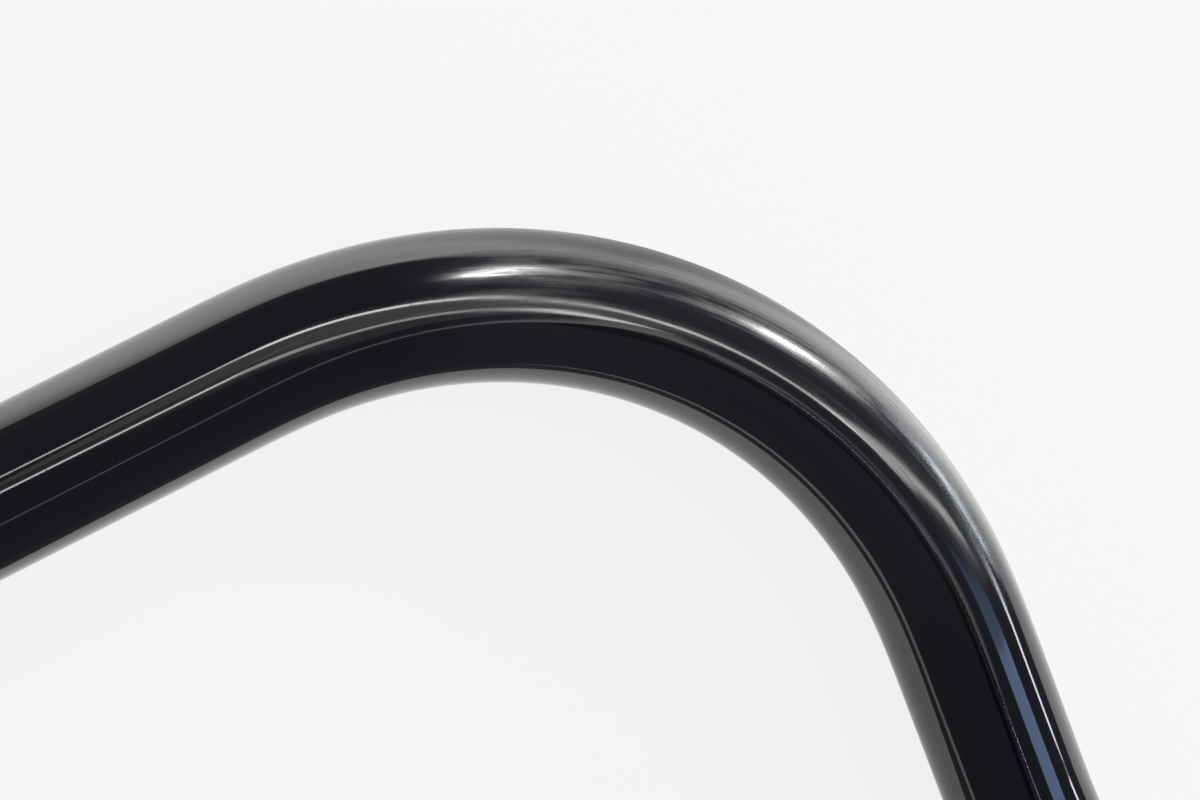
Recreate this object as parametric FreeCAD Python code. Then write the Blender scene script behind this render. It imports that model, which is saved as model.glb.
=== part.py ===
"""Track drop handlebar: one bent aluminium tube, a pressed centre sleeve and two expander end plugs.

Millimetres. The origin is the centre of the stem clamp zone. The bar lies as on a bench: its top, top
bends and ramps rest flat in the XY plane, and both hooks curl up along +Z. The ramps run along -Y and
the rider's right is +X. On a bicycle the drops are level, so it travels along -Y and -Z alike.
"""

import FreeCAD, Part
import math
import os

from FreeCAD import Vector

# ---- Bar tube -------------------------------------------------------------------------------------
TUBE_OD = 23.8
TUBE_WALL = 2.0
WIDTH_CC = 400.0          # between the centrelines of the two drops
TOP_BEND_RADIUS = 92.0    # centreline radius of the sweep from the top into the ramp
RAMP_LENGTH = 24.0        # straight run between the two bends
HOOK_RADIUS = 52.0        # centreline radius of the hook
HOOK_ANGLE = 135.0        # degrees from the ramp's direction round to the drop's
DROP_LENGTH = 100.0       # straight run that the hand holds
EASE_ANGLE = 3.0          # degrees at the start and end of a bend that are bent more gently
EASE_RATIO = 2.0          # radius of those eased stretches over the bend's own radius
TUBE_END_CHAMFER = 0.4

# ---- Centre sleeve --------------------------------------------------------------------------------
SLEEVE_WALL = 0.8         # takes the tube up to the 25.4 mm of the stem's clamp
SLEEVE_LENGTH = 92.0
SLEEVE_END_TAPER = 2.4    # axial length over which each end runs down towards the tube
SLEEVE_END_LIP = 0.2      # wall left at the very end
SLEEVE_GROOVE_RADIUS = 0.7
SLEEVE_GROOVE_DEPTH = 0.35
SLEEVE_GROOVE_INSET = 6.0  # from the sleeve's end to the first groove
SLEEVE_GROOVE_PITCH = 3.0
SLEEVE_GROOVES_PER_END = 2

# ---- End plug screw (M5 socket head) --------------------------------------------------------------
SCREW_DIAMETER = 5.0
SCREW_LENGTH = 35.0
SCREW_HEAD_DIAMETER = 8.5
SCREW_HEAD_HEIGHT = 5.0
SCREW_SOCKET_FLATS = 4.0
SCREW_SOCKET_DEPTH = 2.6
SCREW_CHAMFER = 0.5

# ---- End plug cap ---------------------------------------------------------------------------------
CAP_RIM = 2.4             # height of the cap's straight edge outside the tube
CAP_DOME = 2.2            # rise of the dome above that edge
CAP_EDGE_RADIUS = 0.6
CAP_SPIGOT_LENGTH = 8.0
CAP_SPIGOT_CLEARANCE = 0.15
CAP_HEAD_RECESS = 0.4     # how far the screw head sits below the dome's mouth
CAP_HEAD_CLEARANCE = 0.25
CAP_HOLE_CLEARANCE = 0.25

# ---- End plug expander (slotted nylon collet) -----------------------------------------------------
EXPANDER_LENGTH = 22.0
EXPANDER_FIT = 0.08       # radial gap to the tube's bore
EXPANDER_COLLAR = 5.0     # unslotted length behind the cap
EXPANDER_FLOOR = 2.5      # thickness of the floor that seats on the cap's spigot
EXPANDER_SLOTS = 4
EXPANDER_SLOT_WIDTH = 1.8
EXPANDER_MOUTH_WALL = 1.6  # wall at the wide mouth of the taper
EXPANDER_TAPER_ROOM = 1.0  # taper left beyond the wedge nut's narrow end
EXPANDER_RIBS = 5
EXPANDER_RIB_GROOVE = 0.5  # depth of the grooves that leave the gripping ribs

# ---- End plug wedge nut ---------------------------------------------------------------------------
WEDGE_TAPER = 12.0        # degrees, half angle
WEDGE_TAPER_GAP = 0.06    # gap to the expander's taper, measured square to it
WEDGE_LENGTH = 14.0       # tapered length
WEDGE_LAND = 3.0          # plain length behind the taper
WEDGE_BORE_CLEARANCE = 0.06
WEDGE_KEY_CLEARANCE = 0.2  # each side of a key in its slot
WEDGE_KEY_LENGTH = 8.0
WEDGE_KEY_TIP_GAP = 0.5   # radial gap from a key's tip to the tube's bore

# ---- Worked out from the sizes above --------------------------------------------------------------
TUBE_RADIUS = TUBE_OD / 2
BORE_RADIUS = TUBE_RADIUS - TUBE_WALL
SIDES = {"left": -1, "right": 1}
ORIGIN, ACROSS = Vector(0, 0, 0), Vector(1, 0, 0)
TO_HOOKS, UP = Vector(0, -1, 0), Vector(0, 0, 1)
SPIN_AXIS = Vector(0, 1, 0)  # every turned piece is drawn about this axis, then put in place


def eased_bend(radius, angle):
    """The arcs of one bend as (radius, degrees) pairs, gentler where it starts and ends."""
    return [
        (radius * EASE_RATIO, EASE_ANGLE),
        (radius, angle - 2 * EASE_ANGLE),
        (radius * EASE_RATIO, EASE_ANGLE),
    ]


def bend_advance(arcs):
    """How far a run of arcs goes along the direction in which it starts."""
    along, turned = 0.0, 0.0
    for radius, angle in arcs:
        start, turned = turned, turned + angle
        along += radius * (math.sin(math.radians(turned)) - math.sin(math.radians(start)))
    return along


class TubeRun:
    """Walks along a tube's centreline and collects the solid rod of each straight and arc."""

    def __init__(self, radius, start, heading):
        self.radius, self.point, self.heading = radius, Vector(start), Vector(heading)
        self.pieces, self.length = [], 0.0

    def straight(self, length):
        """Adds a straight stretch."""
        self.pieces.append(Part.makeCylinder(self.radius, length, self.point, self.heading))
        self.point = self.point + self.heading * length
        self.length += length

    def bend(self, arcs, towards):
        """Adds arcs that turn the heading towards a direction square to it."""
        axis = self.heading.cross(towards).normalize()
        for radius, angle in arcs:
            centre = self.point + axis.cross(self.heading) * radius
            edge = Part.makeCircle(self.radius, self.point, self.heading)
            disc = Part.Face(Part.Wire(edge))
            self.pieces.append(disc.revolve(centre, axis, angle))
            turn = FreeCAD.Rotation(axis, angle)
            self.point = centre + turn.multVec(self.point - centre)
            self.heading = turn.multVec(self.heading)
            self.length += radius * math.radians(angle)

    def solid(self):
        """All stretches as one rod."""
        return self.pieces[0].fuse(self.pieces[1:]).removeSplitter()


TOP_BEND = eased_bend(TOP_BEND_RADIUS, 90.0)
HOOK_BEND = eased_bend(HOOK_RADIUS, HOOK_ANGLE)
TOP_HALF_LENGTH = WIDTH_CC / 2 - bend_advance(TOP_BEND)


def half_run(radius):
    """The run of one half of the bar, from the middle of the clamp zone to the open end."""
    run = TubeRun(radius, ORIGIN, ACROSS)
    run.straight(TOP_HALF_LENGTH)
    run.bend(TOP_BEND, TO_HOOKS)
    run.straight(RAMP_LENGTH)
    run.bend(HOOK_BEND, UP)
    run.straight(DROP_LENGTH)
    return run


WHOLE_HALF = half_run(TUBE_RADIUS)
OPEN_END, DROP_HEADING = WHOLE_HALF.point, WHOLE_HALF.heading
OPEN_ENDS = {side: Vector(OPEN_END.x * sign, OPEN_END.y, OPEN_END.z) for side, sign in SIDES.items()}


def both_halves(radius):
    """A rod of that radius along the whole bar."""
    half = half_run(radius).solid()
    other = half.mirror(ORIGIN, ACROSS)
    return half.fuse(other).removeSplitter()


def bar_tube():
    """The bent tube, open at both ends, with its end edges broken."""
    tube = both_halves(TUBE_RADIUS).cut(both_halves(BORE_RADIUS))
    ends = [
        edge
        for edge in tube.Edges
        if isinstance(edge.Curve, Part.Circle)
        and any(edge.Curve.Center.distanceToPoint(place) < 0.01 for place in OPEN_ENDS.values())
    ]
    return tube.makeChamfer(TUBE_END_CHAMFER, ends)


def turned(points, axis=SPIN_AXIS):
    """A solid of revolution about an axis through the origin, from an outline of (radius, axial) points.

    A point that is a triple (radius, axial, bulge point) reaches the next one by an arc through it.
    """
    edges = []
    for here, there in zip(points, points[1:] + points[:1]):
        start, end = Vector(here[0], here[1], 0), Vector(there[0], there[1], 0)
        if len(here) > 2:
            edges.append(Part.Arc(start, Vector(here[2][0], here[2][1], 0), end).toShape())
        else:
            edges.append(Part.LineSegment(start, end).toShape())
    solid = Part.Face(Part.Wire(edges)).revolve(ORIGIN, SPIN_AXIS, 360)
    solid.Placement = FreeCAD.Placement(ORIGIN, FreeCAD.Rotation(SPIN_AXIS, axis))
    return Part.makeSolid(solid) if solid.ShapeType != "Solid" else solid


def centre_sleeve():
    """The sleeve that brings the tube up to the stem's size, tapered and grooved at both ends."""
    clamp_radius, end = TUBE_RADIUS + SLEEVE_WALL, SLEEVE_LENGTH / 2
    half_chord = math.sqrt(SLEEVE_GROOVE_RADIUS**2 - (SLEEVE_GROOVE_RADIUS - SLEEVE_GROOVE_DEPTH) ** 2)
    outline = [
        (TUBE_RADIUS, -end),
        (TUBE_RADIUS + SLEEVE_END_LIP, -end),
        (clamp_radius, -end + SLEEVE_END_TAPER),
    ]
    grooves = [end - SLEEVE_GROOVE_INSET - i * SLEEVE_GROOVE_PITCH for i in range(SLEEVE_GROOVES_PER_END)]
    for middle in sorted([-g for g in grooves] + grooves):
        bottom = (clamp_radius - SLEEVE_GROOVE_DEPTH, middle)
        outline += [(clamp_radius, middle - half_chord, bottom), (clamp_radius, middle + half_chord)]
    outline += [
        (clamp_radius, end - SLEEVE_END_TAPER),
        (TUBE_RADIUS + SLEEVE_END_LIP, end),
        (TUBE_RADIUS, end),
    ]
    return turned(outline, ACROSS)


# The end plug is drawn about +Y with the tube's end at y 0, then put on each open end.
CAP_HEIGHT = CAP_RIM + CAP_DOME
HEAD_POCKET_RADIUS = SCREW_HEAD_DIAMETER / 2 + CAP_HEAD_CLEARANCE
HEAD_SEAT = CAP_HEIGHT - CAP_HEAD_RECESS - SCREW_HEAD_HEIGHT
EXPANDER_START = -CAP_SPIGOT_LENGTH
EXPANDER_END = EXPANDER_START - EXPANDER_LENGTH
SHANK_HOLE_RADIUS = SCREW_DIAMETER / 2 + CAP_HOLE_CLEARANCE
EXPANDER_RADIUS = BORE_RADIUS - EXPANDER_FIT
MOUTH_RADIUS = EXPANDER_RADIUS - EXPANDER_MOUTH_WALL
TAPER = math.tan(math.radians(WEDGE_TAPER))
WEDGE_OFFSET = WEDGE_TAPER_GAP / math.cos(math.radians(WEDGE_TAPER))


def plug_cap():
    """The turned cap: a domed head flush with the tube, a spigot and a stepped hole for the screw."""
    spigot = BORE_RADIUS - CAP_SPIGOT_CLEARANCE
    edge = CAP_EDGE_RADIUS * (1 - math.sqrt(0.5))
    half_way = (HEAD_POCKET_RADIUS + TUBE_RADIUS - CAP_EDGE_RADIUS) / 2
    outline = [
        (SHANK_HOLE_RADIUS, -CAP_SPIGOT_LENGTH),
        (spigot, -CAP_SPIGOT_LENGTH),
        (spigot, 0),
        (TUBE_RADIUS, 0),
        (TUBE_RADIUS, CAP_RIM - CAP_EDGE_RADIUS, (TUBE_RADIUS - edge, CAP_RIM - edge)),
        (TUBE_RADIUS - CAP_EDGE_RADIUS, CAP_RIM, (half_way, CAP_RIM + CAP_DOME * 0.75)),
        (HEAD_POCKET_RADIUS, CAP_HEIGHT),
        (HEAD_POCKET_RADIUS, HEAD_SEAT),
        (SHANK_HOLE_RADIUS, HEAD_SEAT),
    ]
    return turned(outline)


def plug_expander():
    """The slotted collet, ribbed outside and tapered inside, that the wedge nut spreads in the tube."""
    rib_step = (EXPANDER_LENGTH - EXPANDER_COLLAR) / EXPANDER_RIBS
    groove_radius = EXPANDER_RADIUS - EXPANDER_RIB_GROOVE
    floor = EXPANDER_START - EXPANDER_FLOOR
    taper_depth = WEDGE_LENGTH + EXPANDER_TAPER_ROOM
    outline = [
        (MOUTH_RADIUS, EXPANDER_END),
        (EXPANDER_RADIUS, EXPANDER_END),
    ]
    for rib in range(1, EXPANDER_RIBS):
        middle = EXPANDER_END + rib * rib_step
        outline += [
            (EXPANDER_RADIUS, middle - EXPANDER_RIB_GROOVE),
            (groove_radius, middle),
            (EXPANDER_RADIUS, middle + EXPANDER_RIB_GROOVE),
        ]
    outline += [
        (EXPANDER_RADIUS, EXPANDER_START),
        (SHANK_HOLE_RADIUS, EXPANDER_START),
        (SHANK_HOLE_RADIUS, floor),
        (MOUTH_RADIUS - taper_depth * TAPER, floor),
        (MOUTH_RADIUS - taper_depth * TAPER, EXPANDER_END + taper_depth),
    ]
    collet = turned(outline)
    slot_length = EXPANDER_LENGTH - EXPANDER_COLLAR
    slots = []
    for i in range(EXPANDER_SLOTS // 2):
        slot = Part.makeBox(2 * TUBE_OD, slot_length, EXPANDER_SLOT_WIDTH)
        slot.translate(Vector(-TUBE_OD, EXPANDER_END, -EXPANDER_SLOT_WIDTH / 2))
        slot.rotate(ORIGIN, SPIN_AXIS, i * 360 / EXPANDER_SLOTS)
        slots.append(slot)
    return collet.cut(slots)


def plug_wedge():
    """The tapered nut on the screw, kept from turning by keys that ride in the expander's slots."""
    mouth = MOUTH_RADIUS - WEDGE_OFFSET
    tip = mouth - WEDGE_LENGTH * TAPER
    bore = SCREW_DIAMETER / 2 + WEDGE_BORE_CLEARANCE
    outline = [
        (bore, EXPANDER_END - WEDGE_LAND),
        (mouth, EXPANDER_END - WEDGE_LAND),
        (mouth, EXPANDER_END),
        (tip, EXPANDER_END + WEDGE_LENGTH),
        (bore, EXPANDER_END + WEDGE_LENGTH),
    ]
    nut = turned(outline)
    key_width = EXPANDER_SLOT_WIDTH - 2 * WEDGE_KEY_CLEARANCE
    key_reach = BORE_RADIUS - WEDGE_KEY_TIP_GAP
    keys = []
    for i in range(EXPANDER_SLOTS):
        inner = (bore + tip) / 2
        key = Part.makeBox(key_reach - inner, WEDGE_KEY_LENGTH + WEDGE_LAND, key_width)
        key.translate(Vector(inner, EXPANDER_END - WEDGE_LAND, -key_width / 2))
        key.rotate(ORIGIN, SPIN_AXIS, i * 360 / EXPANDER_SLOTS)
        keys.append(key)
    return nut.fuse(keys).removeSplitter()


def plug_screw():
    """The socket head screw, its head down in the cap and its end through the wedge nut."""
    head, shank = SCREW_HEAD_DIAMETER / 2, SCREW_DIAMETER / 2
    top, end = HEAD_SEAT + SCREW_HEAD_HEIGHT, HEAD_SEAT - SCREW_LENGTH
    outline = [
        (0, end),
        (shank - SCREW_CHAMFER, end),
        (shank, end + SCREW_CHAMFER),
        (shank, HEAD_SEAT),
        (head, HEAD_SEAT),
        (head, top - SCREW_CHAMFER),
        (head - SCREW_CHAMFER, top),
        (0, top),
    ]
    screw = turned(outline)
    corner = SCREW_SOCKET_FLATS / 2 / math.cos(math.radians(30))
    hexagon = [
        Vector(corner * math.cos(math.radians(60 * i)), top, corner * math.sin(math.radians(60 * i)))
        for i in range(7)
    ]
    socket = Part.Face(Part.makePolygon(hexagon)).extrude(SPIN_AXIS * -SCREW_SOCKET_DEPTH)
    return screw.cut(socket)


def export(shape, name):
    """Writes one node after checking that it is sound."""
    solids = shape.Solids
    if not shape.isValid() or not solids or any(s.Volume <= 0 for s in solids):
        raise ValueError(f"{name} is not a sound solid")
    whole = solids[0] if len(solids) == 1 else Part.makeCompound(solids)
    whole.exportStep(os.path.join("parts", name + ".step"))
    print(f"{name:18s} {len(solids)} solid(s) {sum(s.Volume for s in solids) / 1000:8.2f} cm3")


def main():
    """Builds every node."""
    os.makedirs("parts", exist_ok=True)
    print(f"centreline {2 * WHOLE_HALF.length:.1f} mm, open end at {tuple(round(c, 3) for c in OPEN_END)}")
    export(bar_tube(), "bar_tube")
    export(centre_sleeve(), "centre_sleeve")
    plug_parts = {
        "plug_cap": plug_cap(),
        "plug_expander": plug_expander(),
        "plug_wedge_nut": plug_wedge(),
        "plug_screw": plug_screw(),
    }
    for side, place in OPEN_ENDS.items():
        seat = FreeCAD.Placement(place, FreeCAD.Rotation(SPIN_AXIS, DROP_HEADING))
        for name, shape in plug_parts.items():
            export(shape.transformed(seat.toMatrix()), f"{side}_{name}")


main()
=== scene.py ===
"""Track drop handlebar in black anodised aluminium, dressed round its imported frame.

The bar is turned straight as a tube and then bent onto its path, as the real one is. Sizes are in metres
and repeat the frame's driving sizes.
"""

import logging
import math
from dataclasses import dataclass, field
from enum import Enum
from typing import Callable, Iterable, Sequence

import bpy
from mathutils import Matrix, Vector


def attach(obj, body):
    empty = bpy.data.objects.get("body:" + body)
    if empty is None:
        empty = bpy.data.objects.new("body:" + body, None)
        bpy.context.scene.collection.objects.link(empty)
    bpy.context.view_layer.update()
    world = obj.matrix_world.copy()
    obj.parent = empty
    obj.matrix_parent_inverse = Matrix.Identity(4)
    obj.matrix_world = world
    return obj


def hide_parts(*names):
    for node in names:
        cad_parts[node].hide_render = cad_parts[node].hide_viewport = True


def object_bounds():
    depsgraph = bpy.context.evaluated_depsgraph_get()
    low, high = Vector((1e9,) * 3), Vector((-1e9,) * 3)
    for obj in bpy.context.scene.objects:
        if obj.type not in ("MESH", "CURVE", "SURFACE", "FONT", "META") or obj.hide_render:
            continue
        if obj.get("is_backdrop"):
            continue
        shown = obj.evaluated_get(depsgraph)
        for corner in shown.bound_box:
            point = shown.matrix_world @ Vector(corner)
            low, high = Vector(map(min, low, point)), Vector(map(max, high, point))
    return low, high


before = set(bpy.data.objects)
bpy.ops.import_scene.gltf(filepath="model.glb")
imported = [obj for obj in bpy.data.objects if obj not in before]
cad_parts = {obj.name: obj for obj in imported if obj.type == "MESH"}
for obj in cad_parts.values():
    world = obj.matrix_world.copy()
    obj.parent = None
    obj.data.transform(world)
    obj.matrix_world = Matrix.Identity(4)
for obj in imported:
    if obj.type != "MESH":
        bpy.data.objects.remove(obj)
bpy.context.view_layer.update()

log = logging.getLogger("handlebar")
MM = 0.001
SMOOTH_ANGLE = math.radians(32)


# ---- Node graphs ----------------------------------------------------------------------------------


class Value:
    """A node socket that takes part in Python arithmetic."""

    def __init__(self, graph: "Graph", socket: bpy.types.NodeSocket) -> None:
        """Wraps an output socket of a graph."""
        self.graph = graph
        self.socket = socket

    def output(self, name: str) -> "Value":
        """Another output of the node that this value comes from."""
        return Value(self.graph, self.graph.pick(self.socket.node.outputs, name))

    def maths(self, operation: str, *others: object) -> "Value":
        """This value first in a Math node, with the others after it."""
        return self.graph.maths(operation, self, *others)

    def __add__(self, other: object) -> "Value":
        """Sum."""
        return self.maths("ADD", other)

    def __radd__(self, other: object) -> "Value":
        """Sum, with this value on the right."""
        return self.graph.maths("ADD", other, self)

    def __sub__(self, other: object) -> "Value":
        """Difference."""
        return self.maths("SUBTRACT", other)

    def __rsub__(self, other: object) -> "Value":
        """Difference, with this value on the right."""
        return self.graph.maths("SUBTRACT", other, self)

    def __mul__(self, other: object) -> "Value":
        """Product."""
        return self.maths("MULTIPLY", other)

    def __rmul__(self, other: object) -> "Value":
        """Product, with this value on the right."""
        return self.graph.maths("MULTIPLY", other, self)

    def __truediv__(self, other: object) -> "Value":
        """Quotient."""
        return self.maths("DIVIDE", other)

    def __rtruediv__(self, other: object) -> "Value":
        """Quotient, with this value on the right."""
        return self.graph.maths("DIVIDE", other, self)

    def __neg__(self) -> "Value":
        """Negative."""
        return self.maths("MULTIPLY", -1.0)

    def step(self, low: float, high: float) -> "Value":
        """0 below low, 1 above high and a smooth rise between them; low may be the higher one.

        Args:
            low: the value at which the result is 0.
            high: the value at which the result is 1.

        Returns:
            The smooth step.
        """
        settings = {"interpolation_type": "SMOOTHSTEP"}
        rising = low < high
        ends = (0.0, 1.0) if rising else (1.0, 0.0)
        inputs = {0: self, 1: min(low, high), 2: max(low, high), 3: ends[0], 4: ends[1]}
        return self.graph.node("ShaderNodeMapRange", settings, inputs)


class Graph:
    """A shader, world or geometry tree that is built by calls."""

    def __init__(self, tree: bpy.types.NodeTree) -> None:
        """Takes over a tree."""
        self.tree = tree

    @staticmethod
    def pick(sockets: Iterable[bpy.types.NodeSocket], key: object) -> bpy.types.NodeSocket:
        """The socket with that index, identifier or name.

        Args:
            sockets: a node's inputs or outputs.
            key: a whole number, an identifier or a name.

        Returns:
            The socket.
        """
        listed = list(sockets)
        if isinstance(key, int):
            return listed[key]
        exact = [s for s in listed if s.identifier == key]
        return (exact or [s for s in listed if s.name == key])[0]

    def node(self, kind: str, settings: dict | None = None, inputs: dict | None = None) -> Value:
        """Adds a node, sets it up and feeds it.

        Args:
            kind: the node's type.
            settings: its properties, set first.
            inputs: its sockets' values or links, by index, identifier or name.

        Returns:
            The node's first output that is in use.
        """
        made = self.tree.nodes.new(kind)
        for name, setting in (settings or {}).items():
            setattr(made, name, setting)
        for key, given in (inputs or {}).items():
            socket = self.pick(made.inputs, key)
            if isinstance(given, Value):
                self.tree.links.new(given.socket, socket)
            else:
                socket.default_value = given
        shown = [s for s in made.outputs if s.enabled]
        return Value(self, shown[0]) if shown else Value(self, made.inputs[0])

    def maths(self, operation: str, *terms: object) -> Value:
        """Adds a Math node on numbers and values."""
        return self.node("ShaderNodeMath", {"operation": operation}, dict(enumerate(terms)))

    def vectors(self, operation: str, *terms: object) -> Value:
        """Adds a Vector Math node on vectors and values."""
        return self.node("ShaderNodeVectorMath", {"operation": operation}, dict(enumerate(terms)))

    def scaled(self, vector: Value, factor: object) -> Value:
        """A vector times a number."""
        return self.node("ShaderNodeVectorMath", {"operation": "SCALE"}, {"Vector": vector, "Scale": factor})

    def mixed(self, factor: object, first: object, second: object) -> Value:
        """Two colours, mixed."""
        return self.node("ShaderNodeMix", {"data_type": "RGBA"}, {0: factor, 6: first, 7: second})

    def noise(self, where: Value, scale: float, detail: float = 2.0, rough: float = 0.5) -> Value:
        """A noise between 0 and 1 in the pattern's own space."""
        inputs = {"Vector": where, "Scale": scale, "Detail": detail, "Roughness": rough}
        return self.node("ShaderNodeTexNoise", {"noise_dimensions": "3D"}, inputs)


class Surface(Graph):
    """A material's tree with a Principled shader at its end."""

    def __init__(self, name: str) -> None:
        """Starts an empty material.

        Args:
            name: the material's name.
        """
        self.material = bpy.data.materials.new(name)
        self.material.use_nodes = True
        super().__init__(self.material.node_tree)
        self.tree.nodes.clear()
        self.shader = self.node("ShaderNodeBsdfPrincipled")
        self.node("ShaderNodeOutputMaterial", None, {"Surface": self.shader})

    def feed(self, **channels: object) -> None:
        """Sets or links the Principled shader's sockets; an underscore stands for a space."""
        for name, given in channels.items():
            socket = self.shader.socket.node.inputs[name.replace("_", " ")]
            if isinstance(given, Value):
                self.tree.links.new(given.socket, socket)
            else:
                socket.default_value = given

    def attribute(self, name: str) -> Value:
        """An attribute of the piece as a vector; its number is the output named Fac."""
        return self.node("ShaderNodeAttribute", {"attribute_name": name}).output("Vector")

    def place(self) -> Value:
        """The point on the piece in the frame's own coordinates."""
        return self.node("ShaderNodeTexCoord").output("Object")

    def stretched(self, where: Value, scale: Sequence[float]) -> Value:
        """Coordinates scaled along each axis."""
        return self.vectors("MULTIPLY", where, tuple(scale))

    def relief(self, height: Value, depth: float) -> Value:
        """A normal from a height between 0 and 1 that stands for a depth in metres."""
        return self.node("ShaderNodeBump", None, {"Height": height, "Distance": depth, "Strength": 1.0})


# ---- Finishes -------------------------------------------------------------------------------------


@dataclass(frozen=True)
class Scuff:
    """A stretch of the tube that its bending left satin, as distances from the bar's middle."""

    starts: float
    full: float
    fades: float
    gone: float

    def amount(self, distance: Value) -> Value:
        """0 outside the stretch and 1 in the full part of it."""
        return distance.step(self.starts, self.full) * distance.step(self.gone, self.fades)


@dataclass(frozen=True)
class BarAnodising:
    """Black anodising on a polished tube: a mirror where it is straight, satin where a bend stretched it."""

    colour: tuple[float, float, float, float] = (0.0046, 0.0048, 0.0066, 1.0)
    # A lighter colour, used for the specks' real wear and as painted sheen over the bend.
    wear_and_sheen_colour: tuple[float, float, float, float] = (0.018, 0.0185, 0.021, 1.0)
    index: float = 1.6
    polish: float = 0.05
    satin: float = 0.37
    strain_from: float = -0.012
    strain_to: float = 0.085
    scuffs: tuple[Scuff, ...] = (
        Scuff(0.126, 0.150, 0.232, 0.262),
        Scuff(0.300, 0.320, 0.385, 0.410),
    )
    draw_lines: tuple[float, float, float] = (40.0, 2600.0, 2600.0)
    scuff_lines: tuple[float, float, float] = (120.0, 900.0, 900.0)
    line_depth: float = 2.6 * MM / 1000
    cloud_scale: float = 60.0
    cloud_amount: float = 0.05
    speck_scale: float = 950.0
    speck_places: float = 260.0

    def material(self, half_length: float) -> bpy.types.Material:
        """Builds the finish on the tube's straight coordinates and its bending strain.

        Args:
            half_length: the tube's length from an open end to its middle.

        Returns:
            The material.
        """
        s = Surface("bar_anodising")
        stock = s.attribute("stock")
        strain = s.attribute("strain").output("Fac")
        length = s.node("ShaderNodeSeparateXYZ", None, {0: stock}).output("X")
        distance = (length - half_length).maths("ABSOLUTE")
        first, second = (scuff.amount(distance) for scuff in self.scuffs)
        bent = first.maths("MAXIMUM", second)
        drawn = s.noise(s.stretched(stock, self.draw_lines), 1.0, 3.0, 0.6)
        scuffed = s.noise(s.stretched(stock, self.scuff_lines), 1.0, 3.0, 0.6)
        clouds = s.noise(stock, self.cloud_scale, 2.0, 0.5)
        uneven = strain + self.cloud_amount * (clouds - 0.5)
        stretched = uneven.step(self.strain_from, self.strain_to) * bent
        streaks = (0.5 + 1.5 * (drawn - 0.5) + 1.1 * (scuffed - 0.5)).step(0.1, 0.9)
        haze = stretched * (0.35 + 0.65 * streaks)
        spacing = {"Vector": stock, "Scale": self.speck_scale}
        cells = s.node("ShaderNodeTexVoronoi", {"feature": "F1"}, spacing)
        lonely = s.noise(stock, self.speck_places, 0.0).step(0.60, 0.66)
        specks = cells.output("Distance").step(0.16, 0.05) * lonely * (0.2 + 0.8 * stretched)
        rough = self.polish + (self.satin - self.polish) * haze
        # Lighter at the specks, which are real wear, and across the bent, hazed stretch, where the lighter
        # colour is painted sheen standing in for the satin's hazy reflection.
        wear_and_sheen = specks * 0.8 + haze * 0.2 + bent * 0.6
        height = streaks * (0.04 + 0.96 * stretched) + specks * 1.5
        s.feed(
            Base_Color=s.mixed(wear_and_sheen, self.colour, self.wear_and_sheen_colour),
            Roughness=rough + 0.15 * specks,
            IOR=self.index,
            Normal=s.relief(height, self.line_depth),
        )
        return s.material


@dataclass(frozen=True)
class TurnedAnodising:
    """Black anodising over the fine rings that a lathe leaves, square to the piece's axis."""

    name: str
    axis: tuple[float, float, float]
    centre: tuple[float, float, float] = (0.0, 0.0, 0.0)
    colour: tuple[float, float, float, float] = (0.0055, 0.0057, 0.0075, 1.0)
    roughness: float = 0.24
    feed_mark: float = 0.00016

    def material(self) -> bpy.types.Material:
        """Builds the finish on coordinates along and away from the axis.

        Returns:
            The material.
        """
        s = Surface(self.name)
        away = s.vectors("SUBTRACT", s.place(), self.centre)
        along = s.vectors("DOT_PRODUCT", away, self.axis).output("Value")
        square = s.vectors("SUBTRACT", away, s.scaled(s.node("ShaderNodeCombineXYZ", None, {
            0: self.axis[0], 1: self.axis[1], 2: self.axis[2]}), along))
        radius = s.vectors("LENGTH", square).output("Value")
        cut = s.node("ShaderNodeCombineXYZ", None, {0: along / self.feed_mark, 1: radius / self.feed_mark})
        rings = s.noise(cut, 0.5, 2.0, 0.7)
        patches = s.noise(s.place(), 220.0, 2.0)
        s.feed(
            Base_Color=self.colour,
            Roughness=self.roughness + 0.10 * (rings - 0.5) + 0.08 * (patches - 0.5),
            IOR=1.62,
            Normal=s.relief(rings, 1.2 * MM / 1000),
        )
        return s.material


@dataclass(frozen=True)
class MouldedNylon:
    """Black glass-filled nylon with the fine grain of a spark-eroded mould."""

    colour: tuple[float, float, float, float] = (0.016, 0.016, 0.017, 1.0)

    def material(self) -> bpy.types.Material:
        """Builds the finish on the frame's coordinates.

        Returns:
            The material.
        """
        s = Surface("moulded_nylon")
        grain = s.noise(s.place(), 3200.0, 3.0, 0.6)
        flow = s.noise(s.place(), 180.0, 2.0)
        s.feed(
            Base_Color=s.mixed(flow.step(0.35, 0.75) * 0.5, self.colour, (0.026, 0.026, 0.027, 1.0)),
            Roughness=0.46 + 0.18 * (grain - 0.5) + 0.10 * (flow - 0.5),
            IOR=1.53,
            Normal=s.relief(grain, 12 * MM / 1000),
        )
        return s.material


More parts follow.
